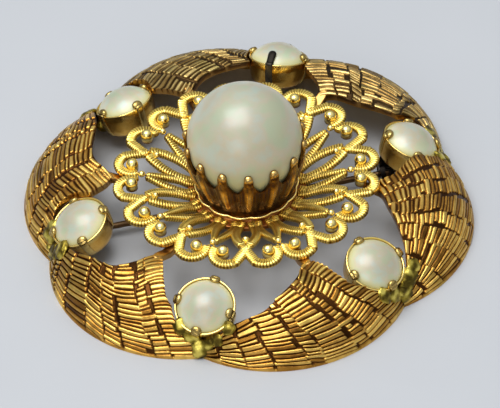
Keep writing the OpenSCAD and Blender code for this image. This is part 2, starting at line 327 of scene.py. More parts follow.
def pearl_material(name, scale):
    """Imitation pearl under a soft lustre: cream with green and rose overtones, a painted yellow
    reflection of the gold at its setting, a painted reflection of the floor lighter low down and painted
    shade a little darker on top."""
    n = Nodes(name)
    broad = n.noise(scale * 0.8, 2, 0.5)
    tint = n.noise(scale * 0.45, 3, 0.55)
    body = n.ramp(broad, [(0.35, (0.44, 0.395, 0.245)), (0.5, (0.43, 0.405, 0.275)),
                          (0.65, (0.38, 0.43, 0.30))])
    rose = n.ramp(tint, [(0.38, (0.40, 0.45, 0.38)), (0.5, (0.49, 0.385, 0.255)),
                         (0.62, (0.38, 0.43, 0.245))])
    skin = n.mix(0.5, body, rose)
    height = n.attribute("relief")
    # painted reflection and shade: lighter low down where the floor is reflected, a little darker on top
    depth = n.ramp(height, [(0.15, (1.5, 1.48, 1.46)), (0.5, (1.2, 1.2, 1.2)), (0.7, (1, 1, 1)),
                            (0.9, (0.87, 0.88, 0.9))])
    skin = n.mix(1.0, skin, depth, "MULTIPLY")
    # painted reflection of the gold setting: yellow near it
    painted_setting_reflection = n.ramp(height, [(0.12, (0, 0, 0)), (0.45, (1, 1, 1))])
    n.colour(n.mix(painted_setting_reflection, (0.60, 0.56, 0.25), skin))
    n.set(Subsurface_Weight=0.5, Subsurface_Scale=3.0 * MM, Coat_Weight=0.85, Coat_Roughness=0.3,
          Coat_IOR=1.58, IOR=1.5, Sheen_Weight=0.05)
    n.shader.inputs["Subsurface Radius"].default_value = (1.0, 0.9, 0.7)
    n.rough(n.noise(0.9, 3), 0.42, 0.55)
    n.bump(n.noise(0.6, 3, 0.5), 0.012)
    return n.mat


petal_top = metal("petal_bark_gilt", (0.075, 0.03, 0.008), (0.45, 0.225, 0.04), (0.93, 0.62, 0.17),
                  1.8, (0.2, 0.4), low=0.2, high=0.95, tone=0.35)
# a duller, darker copy of the bark gilt for the two far petals: painted shade
petal_top_far_shaded = metal("petal_bark_far_painted_shade", (0.06, 0.035, 0.014), (0.27, 0.165, 0.05),
                      (0.68, 0.50, 0.20), 1.8, (0.24, 0.45), low=0.2, high=0.95, tone=0.35)
petal_edge = metal("petal_edge_gilt", (0.16, 0.08, 0.025), (0.36, 0.19, 0.05), (0.62, 0.38, 0.12),
                   2.5, (0.22, 0.4), 0.01)
petal_back = metal("petal_back_gilt", (0.28, 0.17, 0.06), (0.62, 0.41, 0.15), (0.85, 0.61, 0.26),
                   2.2, (0.3, 0.5))
rope_gold = metal("filigree_gilt", (0.18, 0.08, 0.014), (0.70, 0.46, 0.085), (0.95, 0.73, 0.22),
                  2.0, (0.22, 0.42), 0.012, low=0.15, high=0.7)
# the rosette's middle ring gets a darker, redder gilt: partly its own less worn colour, partly painted
# shade under the crown
ring_brown = metal("rosette_middle_gilt", (0.10, 0.035, 0.012), (0.28, 0.11, 0.03), (0.5, 0.26, 0.07),
                   1.5, (0.25, 0.4), 0.01)
crown_gold = metal("crown_gilt", (0.09, 0.04, 0.012), (0.42, 0.24, 0.06), (0.8, 0.55, 0.2),
                   1.1, (0.14, 0.3), 0.012)
cup_gold = metal("cup_gilt", (0.24, 0.10, 0.02), (0.68, 0.40, 0.085), (0.92, 0.68, 0.24),
                 2.4, (0.12, 0.26), 0.01)
solder_metal = metal("solder_gilt", (0.11, 0.08, 0.016), (0.36, 0.275, 0.045), (0.80, 0.66, 0.16),
                     0.7, (0.25, 0.5), 0.03)
steel_dark = metal("catch_steel", (0.02, 0.017, 0.014), (0.05, 0.042, 0.035), (0.13, 0.1, 0.07),
                   0.8, (0.35, 0.55), 0.015)
steel_pin = metal("pin_wire", (0.13, 0.08, 0.04), (0.30, 0.21, 0.11), (0.5, 0.4, 0.25),
                  1.0, (0.22, 0.42), 0.01)
bead_gold = metal("bead_gilt", (0.30, 0.15, 0.03), (0.80, 0.56, 0.14), (1.0, 0.80, 0.32),
                  2.0, (0.14, 0.3), 0.008)
lip_gold = metal("crown_lip_gilt", (0.12, 0.06, 0.02), (0.55, 0.35, 0.09), (1.0, 0.78, 0.32),
                 1.0, (0.14, 0.3), 0.008)
claw_gold = metal("claw_gilt", (0.10, 0.07, 0.035), (0.50, 0.36, 0.12), (0.82, 0.62, 0.24),
                  0.9, (0.16, 0.34), 0.01)
claw_worn = metal("claw_bare", (0.02, 0.018, 0.015), (0.07, 0.06, 0.045), (0.2, 0.17, 0.12),
                  0.9, (0.35, 0.55), 0.01)
pearl_big = pearl_material("pearl_large", 7)
pearl_small = pearl_material("pearl_small", 3.4)


# ---- petals: domed shells with a bark of short ridges ----
def dome_z(p):
    """Height of the petals' outer surface at a distance from the rim circle's middle."""
    near = CREST_H - (CREST_H - ROS_Z + ROS_T) * np.minimum(1, (CREST_AT - p) / 4.4) ** 2
    q = np.clip((p - CREST_AT) / (RIM_R - CREST_AT), 0, 1)
    return np.where(p <= CREST_AT, near, CREST_H * (1 - q * q) ** (2 / 3))


def inner_z(p):
    """Height of the petals' inner surface."""
    q = np.clip((p - CREST_AT) / (RIM_R - PETAL_T - CREST_AT), 0, 1)
    return np.where(p <= CREST_AT, dome_z(p) - PETAL_T, (CREST_H - PETAL_T) * (1 - q * q) ** (2 / 3))


def rot(v, degrees):
    """A plan point turned about the middle."""
    a = math.radians(degrees)
    return np.array([v[0] * math.cos(a) - v[1] * math.sin(a), v[0] * math.sin(a) + v[1] * math.cos(a)])


RIM_MID = rot((RIM_C, 0), 30)
CLEAR = CUP_R + 0.2                     # room that an opening leaves round its cup's axis
MIDDLE = np.array([19.5, 1.0])          # a point inside every opening
WIDEST = 14                             # how far an opening may reach from there


def from_cup(p, k, at):
    """Distance of a point of the dome from the axis of cup k, which stands at an angle to the petal."""
    q = rot(p, -at)
    z = float(dome_z(np.hypot(*(p - RIM_MID))))
    t = math.radians(CUP_TILT)
    dx, dy, dz = CUP_OFF[k]
    across = (q[0] - CUP_X - dx) * math.cos(t) - (z - CUP_Z - dz) * math.sin(t)
    return math.hypot(across, q[1] - dy)


def gap_curve(k):
    """Outline of the opening at cup k, in the frame of that cup's direction."""
    p = [(9, -GAP_PREV[k][0])] + [(x, -y) for x, y in zip(GAP_AT, GAP_PREV[k])]
    p += [(24, -1.7), (24.45, 0.2), (24.45, 1.6)]
    p += [(x, y) for x, y in zip(GAP_AT[::-1], GAP_NEXT[k][::-1])] + [(9, GAP_NEXT[k][0])]
    p = np.array(p, float)
    return spline(np.vstack([p[:1], p, p[-1:]]), 24)


def gap_reach(k, at):
    """How far the opening at cup k reaches from its middle, by angle, and the room left for the cup."""
    d = gap_curve(k) - MIDDLE
    angle, reach = np.arctan2(d[:, 1], d[:, 0]), np.hypot(d[:, 0], d[:, 1])
    order = np.argsort(angle)
    angle, reach = angle[order], reach[order]
    fine = np.linspace(angle[0], angle[-1], 900)
    out = np.interp(fine, angle, reach)
    for i, a in enumerate(fine):
        way = np.array([math.cos(a), math.sin(a)])
        while from_cup(rot(MIDDLE + way * out[i], at), k, at) < CLEAR and out[i] < WIDEST:
            out[i] += 0.01
    return fine, out


def gap_edge(k, at):
    """Outline of the opening at cup k, turned to the angle at, and its reach by angle."""
    fine, out = gap_reach(k, at)
    edge = MIDDLE + np.c_[np.cos(fine), np.sin(fine)] * out[:, None]
    return np.array([rot(p, at) for p in edge]), (fine, out)


def within(p, at, reach):
    """Whether a point lies in the opening whose reach by angle is given."""
    q = rot(p, -at) - MIDDLE
    return np.hypot(*q) < np.interp(math.atan2(q[1], q[0]), *reach)


def spread(points, n):
    """n points evenly spaced along a polyline."""
    p = np.array(points, float)
    d = np.r_[0, np.cumsum(np.hypot(*np.diff(p, axis=0).T))]
    s = np.linspace(0, d[-1], n)
    return np.c_[np.interp(s, d, p[:, 0]), np.interp(s, d, p[:, 1])]


SMOOTHING = 1500                        # steps towards evenly spaced grid lines


def petal_patch(k, nu=113, nv=65):
    """A smooth grid over a petal's outline, and its tip.

    u runs from the horn at cup k to the petal's far side, v from the openings to the rim."""
    edge_a, reach_a = gap_edge(k, 0)
    edge_b, reach_b = gap_edge((k + 1) % 6, 60)
    side_a = [p for p in edge_a if p[1] > 0 and not within(p, 60, reach_b)]
    side_b = [p for p in edge_b if rot(p, -60)[1] < 0 and not within(p, 0, reach_a)]
    first = next(i for i, p in enumerate(edge_a) if p[1] > 0 and p[0] > 20)
    before, after = edge_a[first - 1], edge_a[first]
    start = before + (after - before) * (-before[1] / (after[1] - before[1]))
    side_a = [start] + side_a
    tip = (side_a[-1] + side_b[0]) / 2
    side_a.append(tip)
    side_b.append(rot((np.hypot(*side_b[-1]), 0), 60))
    reach = math.sqrt(RIM_R ** 2 - RIM_MID[1] ** 2)
    horn_a = np.array([RIM_MID[0] + reach, 0])
    horn_b = rot((rot(RIM_MID, -60)[0] + reach, 0), 60)
    angle = [math.atan2(*(h - RIM_MID)[::-1]) for h in (horn_a, horn_b)]
    rim = [RIM_MID + RIM_R * np.array([math.cos(a), math.sin(a)]) for a in np.linspace(*angle, 300)]
    low, high = spread(side_a, nu), spread(rim, nu)
    left, right = spread([side_a[0], horn_a], nv), spread([tip] + side_b + [horn_b], nv)
    u, v = np.meshgrid(np.linspace(0, 1, nu), np.linspace(0, 1, nv), indexing="ij")
    u, v = u[..., None], v[..., None]
    g = ((1 - v) * low[:, None] + v * high[:, None] + (1 - u) * left[None] + u * right[None]
         - (1 - u) * (1 - v) * low[0] - u * (1 - v) * low[-1] - (1 - u) * v * high[0] - u * v * high[-1])
    for _ in range(SMOOTHING):
        du, dv = (g[2:, 1:-1] - g[:-2, 1:-1]) / 2, (g[1:-1, 2:] - g[1:-1, :-2]) / 2
        cross = (g[2:, 2:] - g[2:, :-2] - g[:-2, 2:] + g[:-2, :-2]) / 4
        al, be, ga = (dv ** 2).sum(-1), (du * dv).sum(-1), (du ** 2).sum(-1)
        along, over = g[2:, 1:-1] + g[:-2, 1:-1], g[1:-1, 2:] + g[1:-1, :-2]
        g[1:-1, 1:-1] = ((al[..., None] * along + ga[..., None] * over - 2 * be[..., None] * cross)
                         / (2 * (al + ga) + 1e-9)[..., None])
    return g, tip


def lift(xy):
    """Plan points raised to the dome, and the dome's normals there."""
    d = xy - RIM_MID
    p = np.hypot(d[..., 0], d[..., 1])
    h = 1e-3
    slope = (dome_z(np.minimum(p + h, RIM_R)) - dome_z(p - h)) / (np.minimum(p + h, RIM_R) - (p - h))
    n = np.dstack([-slope * d[..., 0] / p, -slope * d[..., 1] / p, np.ones_like(p)])
    n /= np.linalg.norm(n, axis=-1, keepdims=True)
    return np.dstack([xy, dome_z(p)]), n


def fine_grid(patch, nu, nv):
    """The patch as nu by nv points, evenly spaced over the dome from opening to rim."""
    iu = np.linspace(0, patch.shape[0] - 1, nu)
    lo = np.minimum(iu.astype(int), patch.shape[0] - 2)
    f = (iu - lo)[:, None, None]
    lines = patch[lo] * (1 - f) + patch[lo + 1] * f
    v0 = np.linspace(0, 1, patch.shape[1])
    v1 = 1 - (1 - np.linspace(0, 1, 600)) ** 2.2
    out = np.zeros((nu, nv, 2))
    length = np.zeros(nu)
    for i in range(nu):
        dense = np.c_[np.interp(v1, v0, lines[i, :, 0]), np.interp(v1, v0, lines[i, :, 1])]
        last = dense[-1] - RIM_MID
        dense[-1] = RIM_MID + last / np.hypot(*last) * RIM_R
        z = dome_z(np.hypot(*(dense - RIM_MID).T))
        d = np.r_[0, np.cumsum(np.sqrt((np.diff(dense, axis=0) ** 2).sum(1) + np.diff(z) ** 2))]
        s = np.linspace(0, d[-1], nv)
        out[i] = np.c_[np.interp(s, d, dense[:, 0]), np.interp(s, d, dense[:, 1])]
        length[i] = d[-1]
    return out, length


def smooth(x, a, b):
    """An even step from 0 at a to 1 at b."""
    t = np.clip((x - a) / (b - a), 0, 1)
    return t * t * (3 - 2 * t)


def bark(width, length, rng, columns=9, pitch=0.64):
    """Height of the bark, 0 in a groove and 1 on a ridge, and a tone for each of its bars.

    It is columns of short flat-topped bars. width is the whole of u in millimetres at each point, and
    length that of v along each line."""
    nu, nv = width.shape
    u = np.linspace(0, 1, nu)[:, None] + np.zeros((1, nv))
    t = np.zeros((nu, 1)) + np.linspace(0, 1, nv)[None]
    out, tone = np.zeros((nu, nv)), np.zeros((nu, nv))
    cuts = np.linspace(0, 1, columns + 1)
    cuts[1:-1] += rng.uniform(-0.25, 0.25, columns - 1) / columns
    for c in range(columns):
        first, last = int(cuts[c] * (nu - 1)), int(cuts[c + 1] * (nu - 1)) + 1
        long = float(np.quantile(length[first:last], 0.8))
        count = max(3, int(round(long / pitch)))
        sizes = rng.uniform(0.72, 1.3, count)
        edges = np.r_[0, np.cumsum(sizes)] / sizes.sum()
        slant = rng.uniform(-0.6, 0.6) / long
        local = np.clip((u - cuts[c]) / (cuts[c + 1] - cuts[c]), -0.3, 1.3)
        wave = 0.04 * np.sin(local * 3.5 + t * 30 + rng.uniform(0, 6)) / long
        tt = np.clip(t + slant * (local - 0.5) + wave, 0, 0.9999)
        r = np.clip(np.searchsorted(edges, tt.ravel(), side="right").reshape(tt.shape) - 1, 0, count - 1)
        across = (tt - edges[r]) / (edges[r + 1] - edges[r])
        size_mm = (edges[r + 1] - edges[r]) * long
        group = np.cumsum(rng.random(count) < 0.45)
        end_a = rng.uniform(-0.4, 0.35, group[-1] + 1)[group] + rng.uniform(-0.1, 0.1, count)
        end_b = rng.uniform(-0.35, 0.4, group[-1] + 1)[group] + rng.uniform(-0.1, 0.1, count)
        top = rng.uniform(0.62, 1.0, count) * np.where(rng.random(count) < 0.03, 0.4, 1)
        tip_a, tip_l = rng.uniform(-0.22, 0.22, count), rng.uniform(-0.16, 0.16, count)
        from_a = (u - cuts[c]) * width - (end_a[r] if c else -1) - 0.05
        from_b = (cuts[c + 1] - u) * width - (end_b[r] if c < columns - 1 else -1) - 0.05
        ends = smooth(np.minimum(from_a, from_b), 0.0, 0.18)
        flat = smooth(np.minimum(across, 1 - across) * size_mm, -0.02, 0.2)
        body = top[r] + tip_a[r] * (across - 0.5) + tip_l[r] * (local - 0.5)
        bar = np.clip(body, 0, 1.08) * flat * ends
        tone = np.where(bar > out, rng.uniform(-0.5, 0.5, count)[r], tone)
        out = np.maximum(out, bar)
    return out, tone


def stitch(fine, coarse, step):
    """Triangles between a fine line of vertices and a coarse one with every step-th point."""
    faces = []
    for i in range(len(coarse) - 1):
        for j in range(step):
            faces.append((coarse[i], fine[i * step + j], fine[i * step + j + 1]))
        faces.append((coarse[i], fine[(i + 1) * step], coarse[i + 1]))
    return faces


BARK_DEPTH = 0.3
NU, NV, STEP = 281, 161, 4              # points of a petal's top; one in STEP is met underneath
NECK_IN, NECK_LOW = 1.3, 0.12           # how far a neck runs into its petal, and lies below its top
DRAW_AT = 15                            # where the underside starts to draw in


def neck(build, k, tip):
    """The narrow tongue by which a petal's tip lies under the rosette's edge."""
    a = math.atan2(tip[1], tip[0])
    out, side = np.array([math.cos(a), math.sin(a)]), np.array([-math.sin(a), math.cos(a)])
    far = float(np.hypot(*tip)) + NECK_IN
    half = NECK_W / 2
    section = rounded([(-half, -PETAL_T), (half, -PETAL_T), (half, 0), (-half, 0)], 0.2)
    verts = []
    stations = np.linspace(TIP_R, far, 14)
    for r in stations:
        for x, z in section:
            p = out * r + side * x * (1 - 0.35 * float(smooth(r, far - 1.0, far)))
            verts.append((p[0], p[1], float(dome_z(np.hypot(*(p - RIM_MID)))) + z - NECK_LOW))
    faces = tube_faces(len(stations), len(section))
    build.add(turn(verts, FRONT_TURN + 60 * k), faces, 1, [0.7] * len(verts))


def make_petal(k):
    patch, tip = petal_patch(k)
    xy, length = fine_grid(patch, NU, NV)
    top, normal = lift(xy)
    steps = np.linalg.norm(np.gradient(top, axis=0), axis=-1)
    from_rim = length[:, None] * (1 - np.linspace(0, 1, NV)[None])
    # underside: the same plan, drawn in at the rim by the metal's thickness
    cu, cv = np.arange(0, NU, STEP), np.arange(0, NV, STEP)
    under_xy = xy[np.ix_(cu, cv)] - RIM_MID
    p = np.hypot(under_xy[..., 0], under_xy[..., 1])
    drawn = np.where(p < DRAW_AT, p,
                     DRAW_AT + (p - DRAW_AT) * (RIM_R - PETAL_T - DRAW_AT) / (RIM_R - DRAW_AT))
    under = np.dstack([under_xy * (drawn / p)[..., None] + RIM_MID, inner_z(drawn)])
    nu2, nv2 = len(cu), len(cv)
    top_id = np.arange(NU * NV).reshape(NU, NV)
    low_id = NU * NV + np.arange(nu2 * nv2).reshape(nu2, nv2)
    faces = grid_faces(NU, NV)
    n_top = len(faces)
    faces += [tuple(NU * NV + i for i in f) for f in grid_faces(nu2, nv2)]
    n_low = len(faces)
    for fine, coarse in ((top_id[:, 0], low_id[:, 0]), (top_id[:, -1], low_id[:, -1]),
                         (top_id[0], low_id[0]), (top_id[-1], low_id[-1])):
        faces += stitch(list(fine), list(coarse), STEP)
    # the bark's grooves are also darker in colour, partly as tarnish and partly as painted shade
    relief, tone = bark(steps * (NU - 1), length, np.random.default_rng(40 + k))
    border = smooth(from_rim, 0.2, 0.55)
    relief = relief * border + (1 - border) * 0.75
    pts = top - normal * (BARK_DEPTH * (1 - relief))[..., None]
    b = Build()
    b.add(turn(np.vstack([pts.reshape(-1, 3), under.reshape(-1, 3)]), FRONT_TURN + 60 * k), faces, 0,
          np.r_[relief.ravel(), np.full(nu2 * nv2, 0.7)])
    b.mats = [0] * n_top + [2] * (n_low - n_top) + [1] * (len(faces) - n_low)
    neck(b, k, tip)
    # the two far petals take the darker copy of the gilt, which is painted shade
    bark_metal = petal_top_far_shaded if k in (0, 1) else petal_top
    obj = b.object(f"petal_{k + 1}_bark", [bark_metal, petal_edge, petal_back])
    set_attribute(obj, "tone", np.r_[tone.ravel(), np.zeros(len(b.verts) - tone.size)])
    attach(obj, "brooch")
    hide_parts(f"petal_{k + 1}")


for k in range(6):
    make_petal(k)


# ---- rosette: a dished disc of roped strands, scrolls and beads ----
ROPE_PITCH = 0.31
PER_PITCH, AROUND = 4, 12               # points of a strand to each ridge, and round it
GRAIN_CUT, MID_CUT = 0.3, 0.26          # grooves between the ridges and along the middle
RING_R = 7.35
FLAT_R = 12.3
SMALL_BEAD = 0.42


def dish_z(r):
    """Height of the rosette's top face."""
    return ROS_Z - DISH * (1 - np.clip((r - RING_R) / (FLAT_R - RING_R), 0, 1))


def rope(build, path, width):
    """A flattened strand along a plan path, with round ridges across it and a groove along it."""
    pts, s = resample(path, ROPE_PITCH / PER_PITCH)
    r = np.hypot(pts[:, 0], pts[:, 1])
    mid = np.c_[pts[:, :2], dish_z(r) - ROS_T / 2]
    tangent = np.gradient(mid, axis=0)
    tangent /= np.linalg.norm(tangent, axis=1)[:, None]
    side = np.c_[-tangent[:, 1], tangent[:, 0], 0 * s]
    side /= np.linalg.norm(side, axis=1)[:, None]
    up = np.cross(tangent, side)
    verts, relief = [], []
    total = s[-1]
    for i in range(len(s)):
        w = np.interp(s[i] / total, np.linspace(0, 1, len(width)), width) / 2
        from_end = min(s[i], total - s[i])
        end = 0.25 + from_end / 0.35 if from_end < 0.26 else 1.0
        for j in range(AROUND):
            a = 2 * math.pi * j / AROUND
            ca, sa = math.cos(a), math.sin(a)
            x = math.copysign(abs(ca) ** 0.75, ca)
            z = math.copysign(abs(sa) ** 0.8, sa)
            phase = s[i] / ROPE_PITCH + 0.28 * x + (0.5 if x > 0 else 0)
            ridge = abs(math.sin(math.pi * phase)) ** 0.8
            f = (0.92 + 0.08 * ridge) * end
            groove = MID_CUT * math.exp(-(x / 0.25) ** 2) if sa > 0 else 0
            groove += GRAIN_CUT * (1 - ridge) * max(0, sa)
            p = mid[i] + side[i] * (x * w * f) + up[i] * ((z * f - groove) * ROS_T / 2)
            verts.append(tuple(p))
            # painted light and shade: each strand is lighter on top, darker underneath and darker
            # towards the crown; the grooves between and along the ridges are darker too, partly as
            # tarnish and partly as painted shade
            painted_top_light = 0.5 + 0.5 * sa
            painted_crown_shade = 0.5 + 0.5 * min(1, max(0, (r[i] - 6.4) / 2.2))
            relief.append((0.12 + 0.88 * ridge) * (0.35 + 0.65 * painted_top_light)
                          * (0.65 if groove > 0.15 else 1) * painted_crown_shade)
    build.add(verts, tube_faces(len(s), AROUND), 0, relief)


def polar(centre, radius, angles):
    """Plan points round a centre, at angles in degrees."""
    return [(centre[0] + radius * math.cos(math.radians(a)),
             centre[1] + radius * math.sin(math.radians(a))) for a in angles]


def spin(points, degrees, side=1):
    """Plan points turned about the middle; side=-1 mirrors them first."""
    a = math.radians(degrees)
    c, s = math.cos(a), math.sin(a)
    return [(c * x - s * side * y, s * x + c * side * y) for x, y in points]


def bead(build, x, y, z, radius, base=None):
    """A round bead, on a short post down to base if that is given."""
    if base is None:
        pts, faces = ball((x, y, z), radius)
    else:
        prof = [(0, base), (radius * 0.8, base), (radius, base + 0.12), (radius * 1.02, z)]
        prof += [(radius * math.cos(t), z + radius * math.sin(t))
                 for t in np.linspace(0.15, math.pi / 2, 8)]
        prof[-1] = (0, z + radius)
        pts, faces = lathe_capped(prof, 20)
        pts = [(px + x, py + y, pz) for px, py, pz in pts]
    # painted shade: each bead is darker on its lower part and down its post
    foot = z - 0.35 * radius
    build.add(pts, faces, 1, [0.1 + 0.85 * float(smooth(p[2], foot - 0.1, foot + 0.2)) for p in pts])


def make_rosette():
    b = Build()
    step = 360 / UNITS
    inner = spin(polar((9.4, -4.95), 6.2, range(121, 49, -9)), step / 2)
    scroll = inner[-1:] + polar((SCROLL_X, SCROLL_Y), SCROLL_R, range(62, -136, -18))
    leaf = [(6.25, 0.5), (7.1, 0.78), (8.2, 0.98), (9.6, 0.80), (11.2, 0.42), (12.35, 0.16)]
    for k in range(UNITS):
        turn_k = FRONT_TURN + step * (k + 0.5)
        for side in (1, -1):
            rope(b, spin(inner, turn_k, side), [1.1, 1.15, 1.2, 1.25])
            rope(b, spin(scroll, turn_k, side), [1.25, 1.3, 1.3, 1.2, 1.05])
            rope(b, spin(leaf, turn_k, side), [0.95, 1.05, 1.05, 0.85, 0.55])
            x, y = spin([(SCROLL_X, BALL_Y)], turn_k, side)[0]
            bead(b, x, y, ROS_Z - 0.05, BALL_R, ROS_Z - ROS_T)
        x, y = spin([(12.75, 0)], turn_k)[0]
        bead(b, x, y, ROS_Z - 0.12, SMALL_BEAD)
        x, y = spin([(11.55, 0)], turn_k + step / 2)[0]
        bead(b, x, y, float(dish_z(11.6)) - 0.02, SMALL_BEAD)
    low, top = ROS_Z - DISH - ROS_T, ROS_Z - DISH
    ring = rounded([(2.4, low), (RING_R, low), (RING_R - 0.1, top - 0.5), (6.2, top - 0.35),
                    (5.9, top - 0.05), (2.4, top - 0.05)], 0.12)
    pts, faces = lathe(ring, 160)
    b.add(pts, faces, 2, [0.5] * len(pts))
    obj = b.object("rosette_roped", [rope_gold, bead_gold, ring_brown], sharp=False)
    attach(obj, "brooch")
    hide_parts("filigree_rosette")


# ---- crown cup: a fluted wall with rounded prongs on a scalloped foot ----
# Outlines of the wall's two faces as (r, z), and its upper edge from the middle of a prong to the
# middle of the dip beside it
CROWN_OUT = [(5.55, 4.95), (5.75, 5.6), (6.1, 6.5), (6.7, 8.0), (7.2, 9.9), (7.45, 12.2), (7.36, 12.9)]
CROWN_IN = [(5.0, 5.0), (5.2, 5.8), (5.5, 6.4), (6.2, 8.0), (6.75, 9.9), (7.03, 11.8), (7.03, 12.9)]
HALF_PITCH = 1.66
CROWN_TOP = [(0, 12.86), (0.3, 12.8), (0.48, 12.6), (0.57, 12.25), (0.6, 11.5), (0.68, 10.95),
             (0.95, 10.45), (1.3, 10.0), (HALF_PITCH, 9.6)]
WALL_ROWS = 34
FLUTE, FINE_FLUTE = 0.17, 0.07          # depth of the ribs, and of the lines on them
STEM = 0.1                              # how far a prong stands out of the wall
NECK_Z, NECK_CUT = 11.75, 0.13          # the crease below a prong's round end
HEAD_Z, HEAD_OUT = 12.35, 0.16          # the round end itself


def crown_edge(d):
    """Height of the wall's upper edge, d millimetres round from the middle of a prong."""
    return float(np.interp(d, [p[0] for p in CROWN_TOP], [p[1] for p in CROWN_TOP]))


def make_crown():
    b = Build()
    start = math.radians(CROWN_TURN + FRONT_TURN)
    half = [0, 0.15, 0.3, 0.42, 0.5, 0.56, 0.595, 0.61, 0.68, 0.8, 0.95, 1.1, 1.3, 1.5, HALF_PITCH]
    offsets = [-x for x in half[:0:-1]][1:] + half
    rows, foot_z = WALL_ROWS, CROWN_OUT[0][1]
    verts_out, verts_in, relief = [], [], []
    for k in range(CROWN_N):
        for d in offsets:
            a = start + 2 * math.pi * (k + d / (2 * HALF_PITCH)) / CROWN_N
            edge = crown_edge(abs(d))
            rib, line = (math.cos(m * math.pi * d / HALF_PITCH) for m in (1, 3))
            for i in range(rows):
                t = i / (rows - 1)
                z = foot_z + (edge - foot_z) * t
                r = np.interp(z, [p[1] for p in CROWN_OUT], [p[0] for p in CROWN_OUT])
                ri = np.interp(z, [p[1] for p in CROWN_IN], [p[0] for p in CROWN_IN])
                low = float(smooth(z, 5.0, 6.2) * (1 - smooth(z, 9.2, 10.8)))
                r += FLUTE * rib * low + FINE_FLUTE * line * low
                stem = float(smooth(z, 9.8, 10.8))
                r += STEM * stem * math.sqrt(max(0, 1 - (min(abs(d), 0.6) / 0.62) ** 2))
                r -= NECK_CUT * math.exp(-((z - NECK_Z) / 0.16) ** 2) * stem
                r += HEAD_OUT * math.exp(-((z - HEAD_Z) / 0.33) ** 2) * max(0, 1 - (abs(d) / 0.6) ** 2)
                r -= 0.2 * float(smooth(t, 0.975, 1)) * (1 if z > 12 else 0.4)
                verts_out.append((r * math.cos(a), r * math.sin(a), z))
                verts_in.append((ri * math.cos(a), ri * math.sin(a), z - 0.03))
                # painted light and shade: the wall is lighter towards the prongs' ends and on the ribs,
                # and darker in the crease under each round end and in the flutes low down, where the
                # dark is partly tarnish
                crease = math.exp(-((z - NECK_Z) / 0.2) ** 2)
                relief.append(0.26 + 0.4 * float(smooth(z, 10.5, 12.6)) - 0.3 * crease
                              + low * (0.6 * float(smooth(rib, 0.1, 0.8)) - 0.22) + 0.12 * low * line)
    cols = CROWN_N * len(offsets)
    faces = grid_faces(cols, rows, True, False)
    n = cols * rows
    faces += [tuple(i + n for i in f) for f in faces]
    for j in (0, rows - 1):
        for i in range(cols):
            k = (i + 1) % cols
            faces.append((i * rows + j, k * rows + j, n + k * rows + j, n + i * rows + j))
    b.add(verts_out + verts_in, faces, 0, relief + [0.4] * n)
    # scalloped foot with a raised bright lip, closed under the pearl
    foot = rounded([(0.02, 4.8), (6.25, 4.75), (6.35, 5.0), (6.2, 5.12), (6.0, 5.02), (4.9, 5.3),
                    (0.02, 5.3)], 0.1)
    pts, faces = lathe(foot, 28 * 12)
    out = []
    for x, y, z in pts:
        r, a = math.hypot(x, y), math.atan2(y, x)
        wave = abs(math.sin((a - start) * CROWN_N / 2))
        f = (r + 0.22 * (wave - 0.5) * float(smooth(r, 5.6, 6.2))) / r
        out.append((x * f, y * f, z))
    b.add(out, faces, 1, [0.9 if math.hypot(x, y) > 6.0 else 0.3 for x, y, z in out])
    obj = b.object("crown_fluted", [crown_gold, lip_gold])
    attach(obj, "brooch")
    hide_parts("crown_cup")


# ---- side cups and pearls ----
DOME_R = (PEARL_R ** 2 + PEARL_DOME ** 2) / (2 * PEARL_DOME)
CLAW_W, CLAW_H = 0.46, 0.17             # half width and half thickness of a prong
WORN_CUP, WORN_AT = 1, 180              # the prong that has lost its plating


def claw(b, angle, rng, worn=False):
    """A prong: a strip up the outside of the cup that folds over the pearl and ends round."""
    mid_z = PEARL_DOME - DOME_R
    reach = 2.0 if worn else 2.85 + rng.uniform(-0.15, 0.12)
    path = [(3.0, -CUP_D + 0.35), (3.42, -2.0), (3.66, -0.8), (3.76, -0.1), (3.74, 0.32)]
    top = math.asin(3.35 / DOME_R)
    end = math.asin(reach / DOME_R)
    for t in np.linspace(top, end, 6):
        q = DOME_R + 0.2
        path.append((q * math.sin(t), mid_z + q * math.cos(t)))
    pts, s = resample(path, 0.09)
    tangent = np.gradient(pts, axis=0)
    tangent /= np.linalg.norm(tangent, axis=1)[:, None]
    out = np.c_[tangent[:, 1], -tangent[:, 0]]
    around, total = 14, s[-1]
    more_w, more_h = (0.05, 0.08) if worn else (0.2, 0.2)
    verts, relief = [], []
    for i in range(len(s)):
        left = total - s[i]
        w = CLAW_W + more_w * float(smooth(left, 1.5, 0.6))
        h = CLAW_H + more_h * float(smooth(left, 1.4, 0.6))
        tip = math.sqrt(max(0.02, 1 - max(0, 1 - left / 0.55) ** 2))
        foot = math.sqrt(max(0.02, 1 - max(0, 1 - s[i] / 0.4) ** 2))
        for j in range(around):
            a = 2 * math.pi * j / around
            ca, sa = math.cos(a), math.sin(a)
            across = math.copysign(abs(ca) ** 0.7, ca) * w * tip * foot
            high = math.copysign(abs(sa) ** 0.9, sa) * h * tip * foot
            r, z = pts[i] + out[i] * high
            verts.append((r, across, z))
            relief.append((0.65 if left > 1.3 else 0.5)
                          - (0.75 * float(smooth(left, 2.6, 1.6)) if worn else 0))
    b.add(turn(verts, angle), tube_faces(len(s), around), 2 if worn else 1, relief)


